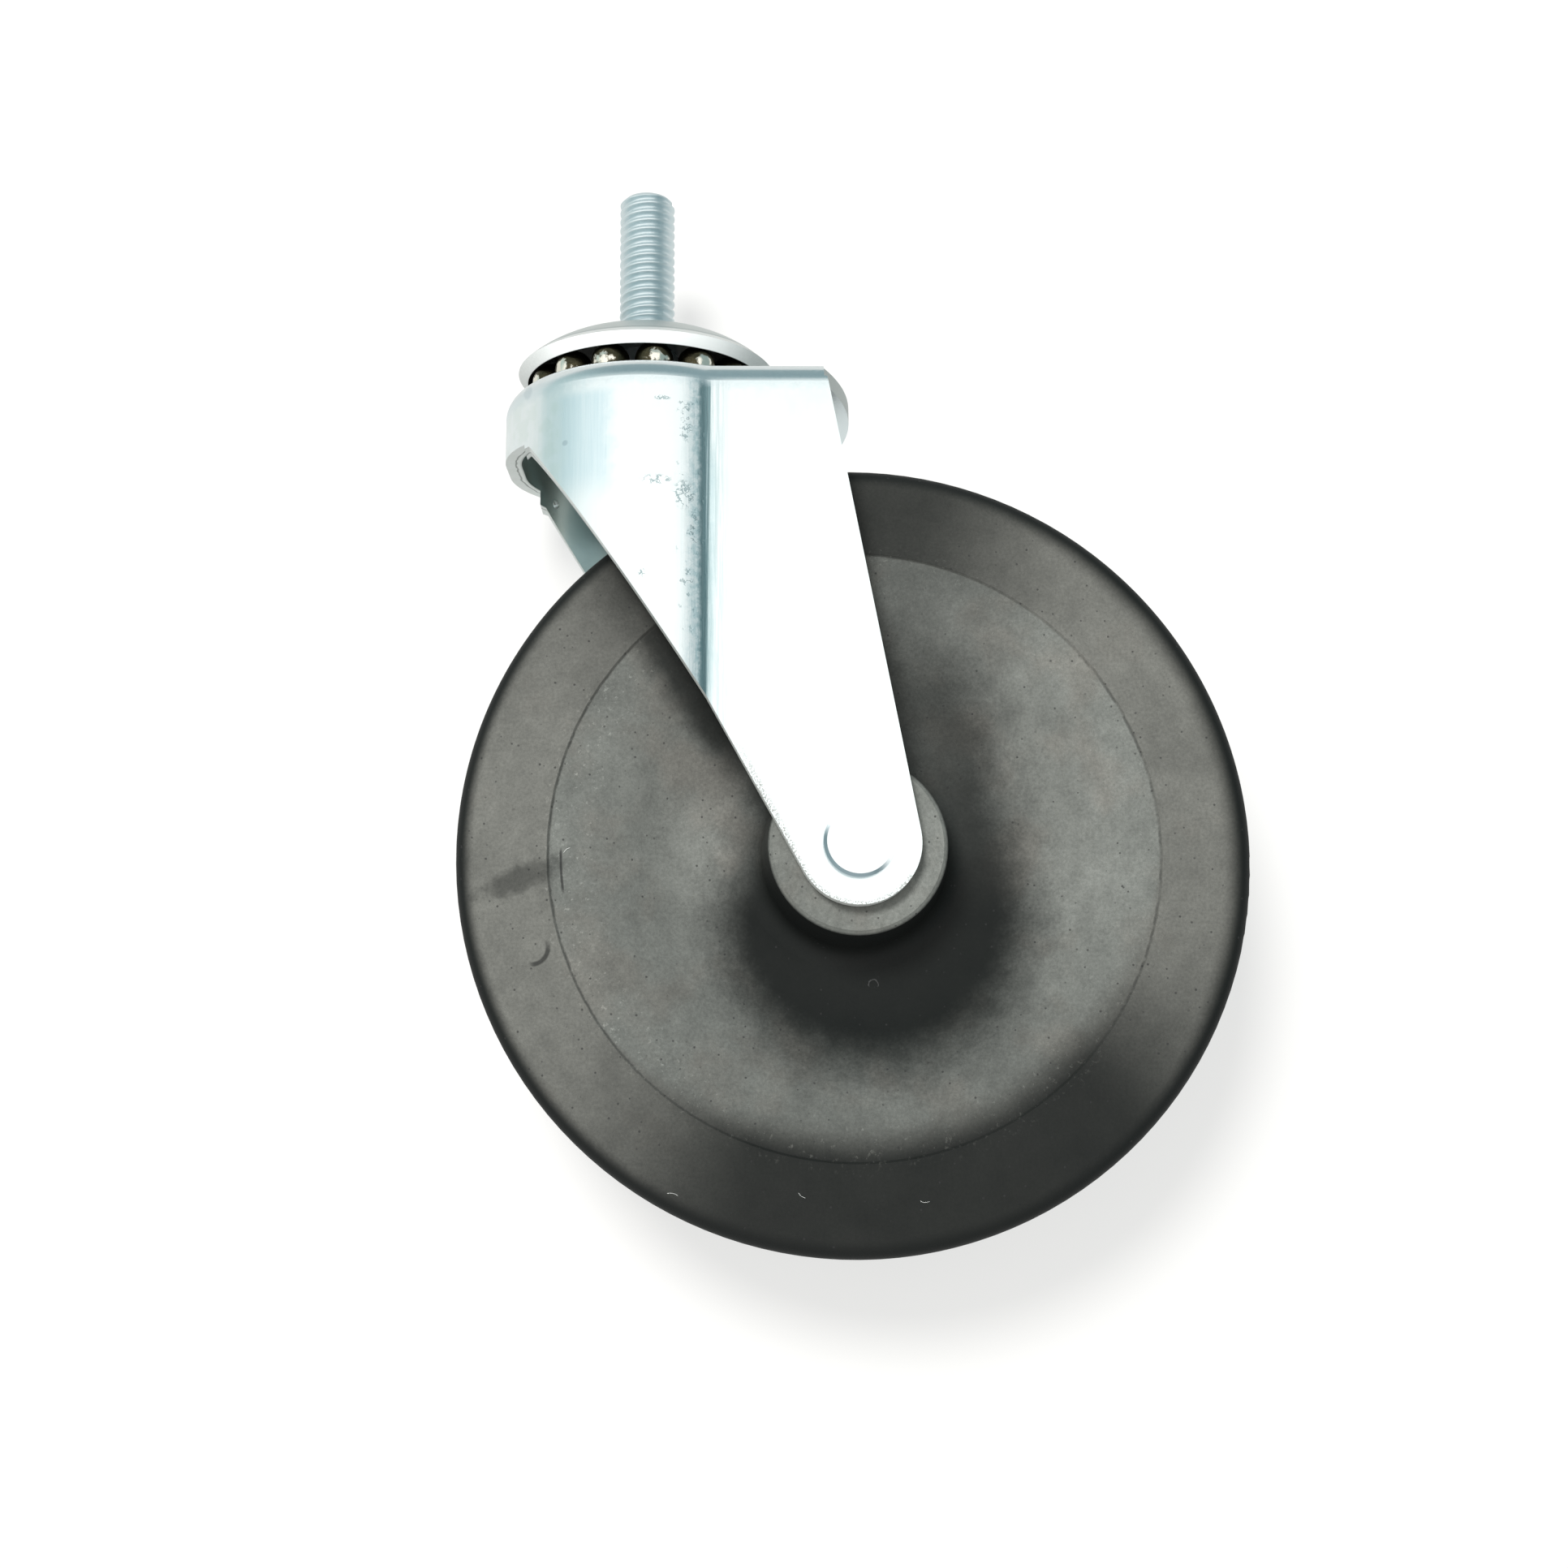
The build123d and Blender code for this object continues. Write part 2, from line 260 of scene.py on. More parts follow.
def rolled_thread(graph, given):
    """A grid wrapped round the stud, pushed out along a helix, joined to the blank."""
    rows = given["Rows"]
    sizes = {"Size X": 1.0, "Size Y": 1.0, "Vertices X": given["Columns"] + 1, "Vertices Y": rows}
    grid = graph.node("GeometryNodeMeshGrid", None, sizes)
    on_grid = graph.parts(graph.node("GeometryNodeInputPosition"))
    turn, row = on_grid[0] + 0.5, on_grid[1] + 0.5
    gap = 1 / (rows - 1)
    over_foot = graph.math("GREATER_THAN", row, gap * 0.5)
    under_tip = graph.math("LESS_THAN", row, 1 - gap * 0.5)
    share = graph.node("ShaderNodeClamp", None, {0: (row - gap) / (1 - 2 * gap)})
    height = share * (given["Length"] + given["Sunk"]) - given["Sunk"]
    phase = height / given["Pitch"] - turn
    wave = abs(graph.math("FRACT", phase) - 0.5) * 2
    crest = graph.step(wave, 0.12, 0.86)
    grown_in = graph.step(height, given["Neck"], given["Neck"] + given["Pitch"])
    valley = given["Depth"] * (0.45 * (1 - grown_in) + (1 - crest) * grown_in)
    cone = given["Tip Radius"] + (given["Length"] - height)
    radius = graph.math("MINIMUM", given["Radius"] - valley, cone) * (over_foot * under_tip)
    angle = turn * (2 * pi)
    place = graph.combine(radius * graph.math("COSINE", angle), radius * graph.math("SINE", angle), height)
    wrapped = graph.node("GeometryNodeSetPosition", None, {"Geometry": grid, "Position": place})
    closed = graph.node("GeometryNodeMergeByDistance", None, {"Geometry": wrapped, "Distance": 1e-6})
    smooth = graph.node("GeometryNodeSetShadeSmooth", None, {"Geometry": closed})
    both = graph.node("GeometryNodeJoinGeometry", None, {0: [given["Geometry"], smooth]})
    solid = graph.node("GeometryNodeRealizeInstances", None, {0: both})
    return graph.node("GeometryNodeSetMaterial", None, {"Geometry": solid, "Material": stem_zinc})


race_thickness, race_bore_radius = 2.2, 4.5
kingpin_radius = 5.3
collar_radius, collar_bottom, collar_bevel = 6.3, -1.0, 0.4
rivet_radius, rivet_bevel = 6.7, 0.05
stem_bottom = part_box("stem")[0].z / mm
race_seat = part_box("lower_race")[1].z / mm
race_back = race_seat - race_thickness
rivet_height = race_back - stem_bottom
rivet_arc = (rivet_radius**2 + rivet_height**2) / (2 * rivet_height)
rivet_head = []
for share in (0.25, 0.5, 0.75, 0.92):
    from_axis = rivet_radius * share
    rivet_head.append((from_axis, stem_bottom + rivet_arc - sqrt(rivet_arc**2 - from_axis**2)))
kingpin_outline = [
    (0, stem_bottom),
    *rivet_head,
    (rivet_radius, race_back - rivet_bevel),
    (rivet_radius - rivet_bevel, race_back),
    (race_bore_radius, race_back),
    (race_bore_radius, race_seat),
    (kingpin_radius, race_seat),
    (kingpin_radius, collar_bottom),
    (collar_radius, collar_bottom),
    (collar_radius, -collar_bevel),
    (collar_radius - collar_bevel, 0),
    (0, 0),
]

zinc = Finish("stem_zinc", Metallic=1.0)
grain = zinc.noise(0.5, 3)
tone = zinc.blend(zinc.noise(3.0, 3), (0.66, 0.76, 0.79), (0.80, 0.87, 0.89))
stem_zinc = zinc.wear(tone, 0.32 + 0.16 * grain, grain, 0.006)

inch = 25.4 * mm
threaded_stem = turned("threaded_stem", kingpin_outline)
grown(threaded_stem, "rolled_thread", rolled_thread, {
    "Columns": 96,
    "Rows": 300,
    "Radius": 3 / 16 * inch,
    "Depth": 0.86 * mm,
    "Pitch": 1 / 16 * inch,
    "Length": inch,
    "Sunk": 0.3 * mm,
    "Neck": 0.7 * mm,
    "Tip Radius": 3.9 * mm,
})
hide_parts("stem")
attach(threaded_stem, "mount")


# Domed cap and lower race: pressed steel with a dull zinc plate. The cap is fixed to the
# collar and carries the upper balls. Its underside is painted near black, for grease and for
# the shade in the gap over the balls. Its rim is painted near white and made less metallic
# where it faces down, as a painted highlight, and painted darker grey toward its sides.
grease_and_painted_shade = (0.035, 0.036, 0.030)


def dress(material, *pieces):
    """Gives pieces that are used as the CAD made them their material."""
    for piece in pieces:
        nodes[piece].data.materials.clear()
        nodes[piece].data.materials.append(material)


plate = Finish("cap_zinc", Metallic=1.0)
facing_z = plate.facing()[2]
facing_down = plate.step(facing_z, -0.3, -0.5)
cap_radius = plate.distance(plate.x, plate.y)
rings = plate.noise(0.6, 2, at=plate.combine(cap_radius, 0.0, 0.0))
cloud = plate.noise(4.0, 4)
rub = plate.noise(0.35, 3)
# The rim: a painted highlight, near white, painted darker grey toward the sides.
rim_below = plate.step(cap_radius, 20.3, 20.5) * facing_down
rim = plate.most(plate.step(cap_radius, 20.9, 21.3), rim_below)
rim_side = plate.step(abs(plate.x), 11.0, 20.0)
rim_line = plate.band(cap_radius, 20.75, 0.12, 0.15) * plate.step(facing_z, 0.1, 0.3)
# The underside: grease and painted shade, near black, in the gap over the balls.
under_dome = plate.step(plate.z, -1.5, -2.5) * plate.step(cap_radius, 20.5, 20.3)
underside = plate.step(facing_z, -0.25, -0.45) * under_dome
shade = plate.coats(
    plate.blend(cloud, (0.58, 0.62, 0.61), (0.70, 0.73, 0.72)),
    (rim * 0.8, (0.95, 0.96, 0.95)),
    (rim * rim_side * (0.5 + 0.5 * rub), (0.55, 0.57, 0.56)),
    (rim_line * 0.7, (0.45, 0.50, 0.50)),
    (underside * (0.86 + 0.14 * cloud), grease_and_painted_shade),
)
# Less metallic on the rim where it faces down, so it reads bright: part of the painted highlight.
rim_highlight_metal = 1 - 0.85 * rim * facing_down
cap_zinc = plate.wear(shade, 0.34 + 0.12 * rub, rings + rub * 0.6, 0.012, metal=rim_highlight_metal)
dress(cap_zinc, "top_cap", "lower_race")


# Bearing balls: hardened chrome steel, loose in two rows. Dark golden grease covers them,
# except on a patch that faces out of the row and a little down, where clear steel is painted
# so that it shows a glint: a painted highlight.
polish = Finish("bearing_steel", Metallic=1.0)
facing_x, facing_y, facing_z = polish.facing()
row_radius = polish.distance(polish.x, polish.y)
outward = (facing_x * polish.x + facing_y * polish.y) / row_radius
smear = polish.noise(1.4, 4, 0.6, at=polish.vector("ADD", polish.place, (3.1, 0.4, 1.7)))
# A painted highlight: clear steel only where the ball faces outward and a little down.
glint_patch = polish.step(outward - 0.9 * smear - 0.35 * abs(facing_z + 0.15), 0.36, 0.47)
flecks = polish.noise(0.35, 4)
greasy = polish.blend(flecks, (0.022, 0.022, 0.016), (0.12, 0.105, 0.06))
ball_tone = polish.blend(glint_patch, greasy, (0.86, 0.84, 0.74))
bearing_steel = polish.wear(ball_tone, 0.34 - 0.18 * glint_patch, flecks * (1.4 - glint_patch), 0.05)
dress(bearing_steel, *[name for name in nodes if "ball" in name])


# Fork: one steel sheet, blanked, drawn and folded in a press, then bright zinc plated. The
# press leaves draw lines in the crease, and the sheared edges stay grey and rough, with a
# step where the shear turns into the break. At the legs' ends the edge is painted light as a
# highlight. Its race is painted near black, for grease and for the shade in the gap under the cap.
nose_radius, nose_x, nose_y = 24.2, 0.6, 3.5
leg_outside, crease_x = 25.3, 11.6
axle_x, axle_z = 34.0, -92.1
leg_edge_x, leg_edge_z = 10.6, -67.5
sheet = Finish("fork_zinc", Metallic=1.0)
facing_y, facing_z = sheet.facing()[1:]
tilt_y, tilt_z = abs(facing_y), abs(facing_z)
across = abs(sheet.y)
near_side = sheet.step(sheet.y, -8.0, -10.0)
drawn_place = sheet.combine(sheet.x * 2.4, sheet.y * 2.4, sheet.z * 0.06)
drawn = sheet.noise(1.0, 4, 0.7, at=drawn_place)
mottle = sheet.noise(1.3, 4, 0.65)
wander = sheet.noise(2.0, 3, 0.6)
cloud = sheet.noise(7.0, 3, 0.6)
fine = sheet.noise(0.25, 2)

# The cut edges, and how deep in the sheet's thickness a point lies.
nose_reach = sheet.distance(sheet.x - nose_x, sheet.most(across - nose_y, 0.0))
on_leg = sheet.step(sheet.x, 9.5, crease_x)
sheet_depth = (nose_radius - nose_reach) * (1 - on_leg) + (leg_outside - across) * on_leg
low_edge = sheet.step(tilt_z, 0.25, 0.35) * sheet.step(sheet.z, -20.0, -20.5)
rear_edge = sheet.step(tilt_y, 0.55, 0.45) * sheet.step(tilt_z, 0.55, 0.45)
edge = sheet.most(low_edge, rear_edge * sheet.step(sheet.x, 11.5, 12.5))
shear_step = edge * sheet.band(sheet_depth, 1.35 + 0.9 * wander, 0.06, 0.14)
burr = edge * sheet.step(sheet_depth, 2.35, 2.6)
leg_end = sheet.step(sheet.z, -26.0, -80.0)
# The legs' inner faces: painted shade, darker near the crown and pale lower down.
inner = (1 - edge) * sheet.step(sheet_depth, 2.3, 2.6) * sheet.step(sheet.z, -16.5, -18.0)
inner_low = sheet.step(sheet.z + 6.0 * (cloud - 0.5), -27.0, -34.0)
inner_tone = sheet.blend(inner_low, (0.62, 0.64, 0.57), (1.0, 1.0, 0.93))

# The legs: a brushed strip along the throat's edge and round the axle.
outside = sheet.step(tilt_y, 0.2, 0.6) * sheet.step(across, 25.0, 25.2)
axle_reach = sheet.distance(sheet.x - axle_x, sheet.z - axle_z)
beside_edge = -0.891 * (sheet.x - leg_edge_x) - 0.454 * (sheet.z - leg_edge_z)
edge_strip = sheet.step(beside_edge, -0.9, -0.2) * sheet.step(sheet.z, -72.0, -86.0)
round_axle = sheet.step(axle_reach, 8.8, 9.5) * sheet.step(sheet.z, -96.0, -98.0)
end_strip = sheet.most(round_axle, edge_strip) * outside * sheet.step(fine, 0.45, 0.62)

# The crease where nose and leg meet, painted as the reflection in its hollow: a dark core of
# painted shade, a painted haze on both sides of it, and a painted highlight.
crease = sheet.band(sheet.x, crease_x, 0.6, 2.4) * sheet.step(sheet.z, -16.0, -19.0)
crease_lines = crease * sheet.step(drawn, 0.40, 0.58)
crease_right = sheet.x - 0.015 * (sheet.z + 20.0)
crease_run = sheet.step(sheet.z, -16.5, -18.5) * outside
core_left = sheet.step(sheet.x + 0.8 * (mottle - 0.5), 8.9, 9.8)
painted_crease_shade = core_left * sheet.step(crease_right, 11.3, 11.05) * crease_run
right_haze = sheet.step(crease_right, 11.0, 11.3) * sheet.step(crease_right, 12.9, 11.6)
right_haze = right_haze * sheet.step(sheet.z, -24.0, -34.0)
left_haze = sheet.step(sheet.x, 6.4, 9.0) * sheet.step(sheet.x, 9.9, 9.4)
left_haze = left_haze * sheet.step(mottle, 0.40, 0.58)
painted_crease_haze = sheet.most(right_haze, left_haze) * crease_run * sheet.step(sheet.z, -72.0, -66.0)
painted_crease_highlight = sheet.band(crease_right, 10.75, 0.04, 0.10) * sheet.band(sheet.z, -36.0, 6.0, 6.0)
near_crease = sheet.band(sheet.x, 8.2, 1.2, 2.0) * sheet.band(sheet.z, -38.0, 14.0, 12.0)
specks = sheet.step(mottle, 0.60, 0.68) * near_crease * outside


def marked(x, z, half_x, half_z):
    """1 inside an oval on the fork's near face, at a place in millimetres."""
    away = sheet.distance((sheet.x - x) / half_x, (sheet.z - z) / half_z)
    return sheet.step(away, 1.0, 0.5) * near_side


# The nose: fine scores beside the crease, painted shade on the bend, a haze and two small marks.
score_places = [
    (2.6, -34.5, 3.2, 1.0),
    (6.9, -36.8, 2.2, 2.8),
    (8.6, -42.5, 0.9, 3.5),
    (7.4, -24.8, 1.2, 4.0),
    (3.5, -21.0, 1.6, 0.5),
    (0.3, -49.8, 0.7, 1.0),
    (7.6, -50.8, 1.0, 0.8),
]
scored = sheet.most(*[marked(*place) for place in score_places])
scored = scored * sheet.band(sheet.noise(1.5, 3, 0.6), 0.5, 0.014, 0.028)
nose_mark = sheet.most(marked(-12.1, -27.4, 0.6, 0.6), 0.6 * marked(-18.7, -16.6, 1.0, 1.6))
# Painted shade: the upward-facing bend is painted darker grey, mottled, with a ragged lower edge.
bend_shade = sheet.step(facing_z, 0.03, 0.20) * sheet.step(facing_z, 0.97, 0.85)
bend_shade = bend_shade * sheet.step(sheet.z, -18.5, -17.0)
ragged_height = sheet.z + 2.2 * (mottle - 0.5) + 1.2 * (wander - 0.5)
ragged_bend_shade = sheet.step(ragged_height, -19.2, -17.4) * sheet.step(facing_z, 0.5, 0.2)
ragged_x = sheet.x + 3.0 * (wander - 0.5)
nose_haze = sheet.step(sheet.x, -14.5, -11.5) * sheet.step(ragged_x, -3.0, -6.5)
nose_haze = nose_haze * sheet.step(sheet.z, -39.0, -32.0) * sheet.step(sheet.z, -18.0, -20.5)
pale_nose = sheet.step(sheet.x, -11.0, -14.5) * sheet.step(sheet.z, -17.0, -19.0)
pale_nose = pale_nose * sheet.step(sheet.noise(3.4, 4, 0.6), 0.42, 0.62)
# Grease and painted shade: the race's top under the cap is painted near black.
greased_and_shaded = sheet.step(facing_z, 0.3, 0.5) * sheet.step(sheet.z, -16.5, -15.5)
greased_and_shaded = greased_and_shaded * sheet.step(sheet.distance(sheet.x, sheet.y), 21.6, 20.9)

cool = sheet.coats(
    sheet.blend(drawn, (0.82, 0.91, 0.93), (0.93, 0.97, 0.97)),
    (sheet.step(cloud, 0.5, 0.75) * 0.35, (0.76, 0.86, 0.86)),
    # Painted reflection in the crease: haze, dark core and highlight.
    (painted_crease_haze * (0.25 + 0.5 * mottle), (0.46, 0.66, 0.70)),
    (painted_crease_shade * (0.75 + 0.25 * drawn), (0.13, 0.235, 0.255)),
    (painted_crease_highlight * outside * 0.6, (0.70, 0.82, 0.86)),
    (crease_lines * 0.35, (0.34, 0.52, 0.55)),
    (sheet.most(specks * 0.6, scored * 0.8), (0.28, 0.38, 0.40)),
    (bend_shade * (0.1 + 0.45 * mottle), (0.68, 0.71, 0.73)),
    (ragged_bend_shade * (0.15 + 0.45 * fine), (0.60, 0.72, 0.76)),
    (nose_haze * (0.20 + 0.65 * drawn), (0.52, 0.72, 0.79)),
    (pale_nose * 0.4, (0.74, 0.84, 0.80)),
    (nose_mark * 0.6, (0.45, 0.55, 0.60)),
    (edge * (0.5 + 0.4 * mottle), (0.66, 0.68, 0.66)),
    # At the legs' ends the edge is painted light: a painted highlight line.
    (edge * leg_end * (0.5 + 0.5 * fine), (0.62, 0.62, 0.60)),
    (inner * 0.8, inner_tone),
    (end_strip * 0.8, (0.30, 0.31, 0.29)),
    (shear_step * 0.75, (0.20, 0.22, 0.21)),
    (burr * 0.5, (0.30, 0.33, 0.32)),
    (greased_and_shaded * 0.92, grease_and_painted_shade),
)
sheet_rough = 0.20 + 0.10 * drawn + 0.30 * edge
sheet_height = drawn * (0.4 + 1.6 * crease) + fine * 0.15 + edge * mottle * 2.0
sheet_height = sheet_height - shear_step * 2.0 - specks
# At the legs' ends the edge is made less metallic, so it reads light: part of the painted highlight.
fork_zinc = sheet.wear(cool, sheet_rough, sheet_height, 0.02, metal=1 - 0.6 * edge * leg_end)
dress(fork_zinc, "fork")


# Axle and sleeve: a zinc plated rivet, headed over both legs, inside a plain steel tube that
# the legs clamp. The head's rounded lip has a painted highlight above, where it is made less
# metallic, and painted shade below.
head = Finish("axle_zinc", Metallic=1.0)
facing_x, facing_y, facing_z = head.facing()
swirl = head.noise(0.4, 3)
lip = head.step(abs(facing_y), 0.96, 0.88)
# Painted shade on the lip's lower left; the rest of the lip is made less metallic, a painted highlight.
shaded = lip * head.step(-0.55 * facing_x - 0.80 * facing_z, -0.1, 0.35)
zinc_and_lip_shade = head.blend(swirl, (0.84, 0.87, 0.88), (0.95, 0.96, 0.96))
zinc_and_lip_shade = head.blend(shaded * 0.9, zinc_and_lip_shade, (0.24, 0.33, 0.37))
lip_metal = 1 - 0.9 * lip * (1 - shaded)
axle_zinc = head.wear(zinc_and_lip_shade, 0.28 + 0.14 * swirl, swirl, 0.008, metal=lip_metal)
dress(axle_zinc, "axle")

tube = Finish("sleeve_steel", Metallic=1.0)
turning = tube.noise(0.7, 3, at=tube.combine(tube.x * 0.1, tube.y * 3.0, tube.z * 0.1))
tube_tone = tube.blend(turning, (0.45, 0.45, 0.44), (0.62, 0.62, 0.60))
sleeve_steel = tube.wear(tube_tone, 0.34 + 0.1 * turning, turning, 0.01)
dress(sleeve_steel, "axle_sleeve")


# Wheel: one moulding of hard black rubber. Mould bloom lies on its faces as a thin mottled
# grey film. How thick it is painted also stands for light and shade: thick on the left and
# right, thin at the top and bottom, near black in the hollow round the hub as painted shade,
# with a painted sheen left of the hub and painted shade beside the leg. It fades out over the
# tread's shoulders. The near face has pores, a wiped streak and a hook-shaped scratch.
rubber = Finish("hard_rubber", Specular_IOR_Level=0.14)
from_axle_x = rubber.x - axle_x
from_axle_z = rubber.z - axle_z
reach = rubber.distance(from_axle_x, from_axle_z)
cosine = from_axle_x / reach
sine = from_axle_z / reach
near_side = rubber.step(rubber.y, -8.0, -8.4)
blot = rubber.noise(9.0, 5, 0.6)
patch = rubber.noise(3.2, 4, 0.65)
speck = rubber.noise(0.5, 3, 0.6)
dust = rubber.noise(0.16, 1)
pores = rubber.step(rubber.cells(1.7), 0.14, 0.07) * rubber.step(patch, 0.40, 0.54)
crumbs = rubber.step(rubber.noise(0.9, 5, 0.75), 0.56, 0.68) * rubber.band(reach, 45.5, 1.5, 5.0)
ring = rubber.band(reach + 0.5 * (patch - 0.5), 48.65, 0.07, 0.22)
ring = ring * rubber.step(patch, 0.38, 0.60, 0.10, 0.85)
ring = ring * rubber.step(abs(cosine), 0.64, 0.88, 0.10, 1.0)

# How thick the bloom is painted on the tread, in the dish, round the hub and on the hub's end.
# By direction it is painted light and shade: more on the left and right, less at the top and
# bottom, lighter on the hub's right, and near black in the hollow round the hub.
to_left = rubber.step(-0.98 * cosine - 0.03 * sine, 0.30, 0.97)
to_right = rubber.step(0.96 * cosine + 0.28 * sine, 0.45, 0.95)
to_top = rubber.step(sine, 0.55, 0.95)
above_hub = rubber.step(sine, 0.35, 0.9)
to_bottom = rubber.most(-sine, 0.0)
toward_low = rubber.step(0.30 * cosine - 0.95 * sine, 0.25, 0.95)
on_tread = rubber.step(reach, 48.3 - 6.5 * toward_low, 49.1)
# Painted light: thick film on the left and right of the tread, thin at the top and bottom.
tread_painted_light = 0.04 + 0.66 * to_left + 0.66 * to_right + 0.07 * to_top
dish_painted_light = 0.60 + 0.12 * to_left + 0.26 * to_right - 0.14 * to_top
# Painted shade: the hollow round the hub is near black out to this reach, wider below and above.
hollow_shade_reach = 23.5 + 11.0 * to_bottom + 4.0 * cosine + 9.0 * above_hub
hollow_painted_shade = 0.01 + 0.10 * rubber.step(sine, -0.5, 0.35) + 0.13 * above_hub
ragged_reach = reach + 3.0 * (patch - 0.5) + 1.4 * (speck - 0.5)
on_dish = rubber.step(ragged_reach, hollow_shade_reach - 7.0, hollow_shade_reach + 6.5)
on_hub = rubber.step(reach, 14.6, 14.0) * rubber.step(abs(rubber.y), 21.4, 21.9)
bloom_and_painted_light = dish_painted_light * on_dish + hollow_painted_shade * (1 - on_dish)
bloom_and_painted_light = bloom_and_painted_light * (1 - on_tread) + tread_painted_light * on_tread
bloom_and_painted_light = bloom_and_painted_light * (1 - on_hub) + (0.86 + 0.1 * cosine) * on_hub
# A painted sheen in the dish left of the hub.
painted_sheen_away = rubber.distance((from_axle_x + 24.0) / 9.0, (from_axle_z - 1.0) / 11.0)
bloom_and_painted_light = bloom_and_painted_light + 0.26 * rubber.step(painted_sheen_away, 1.3, 0.0) * near_side * (1 - on_hub)

# Where it is mottled, where it fades out over the tread's shoulder, and painted shade beside the leg.
arcs = rubber.noise(2.2, 2, at=rubber.combine(reach, 9.0 * cosine, 9.0 * sine))
bloom_and_painted_light = bloom_and_painted_light * (0.90 + 0.20 * arcs) * (0.40 + 0.6 * blot + 0.58 * patch)
bloom_and_painted_light = bloom_and_painted_light * (0.58 + 0.80 * speck) * (0.8 + 0.4 * dust)
shoulder = 62.5 + 1.6 * to_right
bloom_and_painted_light = bloom_and_painted_light * rubber.step(reach + 2.0 * to_right, shoulder, 60.2)
bloom_and_painted_light = bloom_and_painted_light + crumbs * (0.26 + 0.36 * to_left) * rubber.step(reach, 60.0, 50.0)
# Painted shade: a darker band on the near face beside the leg.
beside_leg = 0.555 * (22.2 - from_axle_z) - 0.832 * (from_axle_x + 23.7)
painted_leg_shade = rubber.step(beside_leg + 2.0 * (patch - 0.5), 5.5, 0.5)
painted_leg_shade = painted_leg_shade * rubber.step(beside_leg, -7.0, -2.0) * (1 - 0.55 * on_tread) * near_side
painted_leg_shade = painted_leg_shade * rubber.step(from_axle_z, 10.0, 20.0) * rubber.step(from_axle_x, 0.0, -8.0)
bloom_and_painted_light = bloom_and_painted_light * (1 - 0.85 * painted_leg_shade)

# Single marks: the streak, a dark arc at the ring's left, the hook and a faint small arc.
streak_x, streak_z = from_axle_x + 53.0, from_axle_z + 4.2
streak_along = 0.91 * streak_x + 0.41 * streak_z
streak_across = 0.91 * streak_z - 0.41 * streak_x
streak_away = rubber.distance(streak_along / 8.6, streak_across / 2.5)
streak = rubber.step(streak_away + 1.3 * (patch - 0.5), 1.1, 0.4)
streak = streak * near_side * (0.75 + 0.4 * patch)
dark_arc = rubber.band(reach, 46.7, 0.10, 0.18) * rubber.band(from_axle_z, -2.9, 2.6, 1.4)
dark_arc = dark_arc * near_side * rubber.step(cosine, 0.0, -0.5)
hook_reach = rubber.distance(from_axle_x + 51.1, from_axle_z + 15.2)
hook_away = rubber.distance((from_axle_x + 49.3) / 2.4, (from_axle_z + 17.0) / 2.8)
hook = rubber.step(hook_away + 0.9 * (patch - 0.5), 1.0, 0.6)
hook = hook * rubber.band(hook_reach, 2.6, 0.16, 0.35) * near_side
loop_reach = rubber.distance(from_axle_x - 2.95, from_axle_z + 20.6)
loop = rubber.band(loop_reach + 0.5 * (speck - 0.5), 0.75, 0.04, 0.10)
loop = loop * near_side * rubber.step(from_axle_z, -21.1, -20.7)

bloom_and_painted_light = bloom_and_painted_light * (1 - 0.55 * streak) * (1 - 0.6 * hook)
bloom_and_painted_light = rubber.node("ShaderNodeClamp", None, {0: bloom_and_painted_light, 2: 1.6})
black = rubber.blend(blot, (0.0040, 0.0050, 0.0048), (0.0080, 0.0088, 0.0082))
warm = rubber.most(on_tread * 0.8, rubber.step(rubber.noise(13.0, 4), 0.48, 0.66))
bloom = rubber.blend(warm, (0.130, 0.134, 0.123), (0.134, 0.131, 0.118))
tone = rubber.coats(
    rubber.vector("ADD", black, rubber.vector("SCALE", bloom, Scale=bloom_and_painted_light)),
    (ring * 0.6, (0.016, 0.017, 0.016)),
    (rubber.most(dark_arc, hook * 0.5) * 0.8, (0.016, 0.016, 0.016)),
    (loop * 0.35, (0.09, 0.09, 0.09)),
    (pores * 0.75, (0.02, 0.02, 0.02)),
)
rubber_height = speck * 0.8 + crumbs - pores - ring - dark_arc
hard_rubber = rubber.wear(tone, 0.60 - 0.12 * speck, rubber_height, 0.03)
dress(hard_rubber, "wheel")


# Lint: short white cotton fibres that fell on the wheel's near face and stick in the bloom.
# Each is one bent hair, lying flat, and turns with the wheel.
def lint(graph, given):
    """A bent fibre on each point, turned and sized at random in the plane of the wheel."""
    bow = {"Start": (-0.5 * mm, 0, 0), "Middle": (0.1 * mm, 0, 0.35 * mm)}
    bow = {**bow, "End": (0.5 * mm, 0, 0.15 * mm), "Resolution": 8}
    fibre = graph.node("GeometryNodeCurveQuadraticBezier", None, bow)
    turns = {0: (0, 0, 0), 1: (0, 2 * pi, 0), "Seed": given["Seed"]}
    turn = graph.node("FunctionNodeRandomValue", {"data_type": "FLOAT_VECTOR"}, turns)
    lengths = {2: given["Shortest"], 3: given["Longest"], "Seed": given["Seed"] + 1}
    size = graph.node("FunctionNodeRandomValue", {"data_type": "FLOAT"}, lengths, 1)
    spread = {"Points": given["Geometry"], "Instance": fibre, "Rotation": turn, "Scale": size}
    laid = graph.node("GeometryNodeInstanceOnPoints", None, spread)
    curves = graph.node("GeometryNodeRealizeInstances", None, {0: laid})
    circle = {"Resolution": 5, "Radius": given["Radius"]}
    profile = graph.node("GeometryNodeCurvePrimitiveCircle", None, circle)
    tubes = {"Curve": curves, "Profile Curve": profile, "Fill Caps": True}
    hair = graph.node("GeometryNodeCurveToMesh", None, tubes)
    solid = graph.node("GeometryNodeRealizeInstances", None, {0: hair})
    return graph.node("GeometryNodeSetMaterial", None, {"Geometry": solid, "Material": fibre_white})


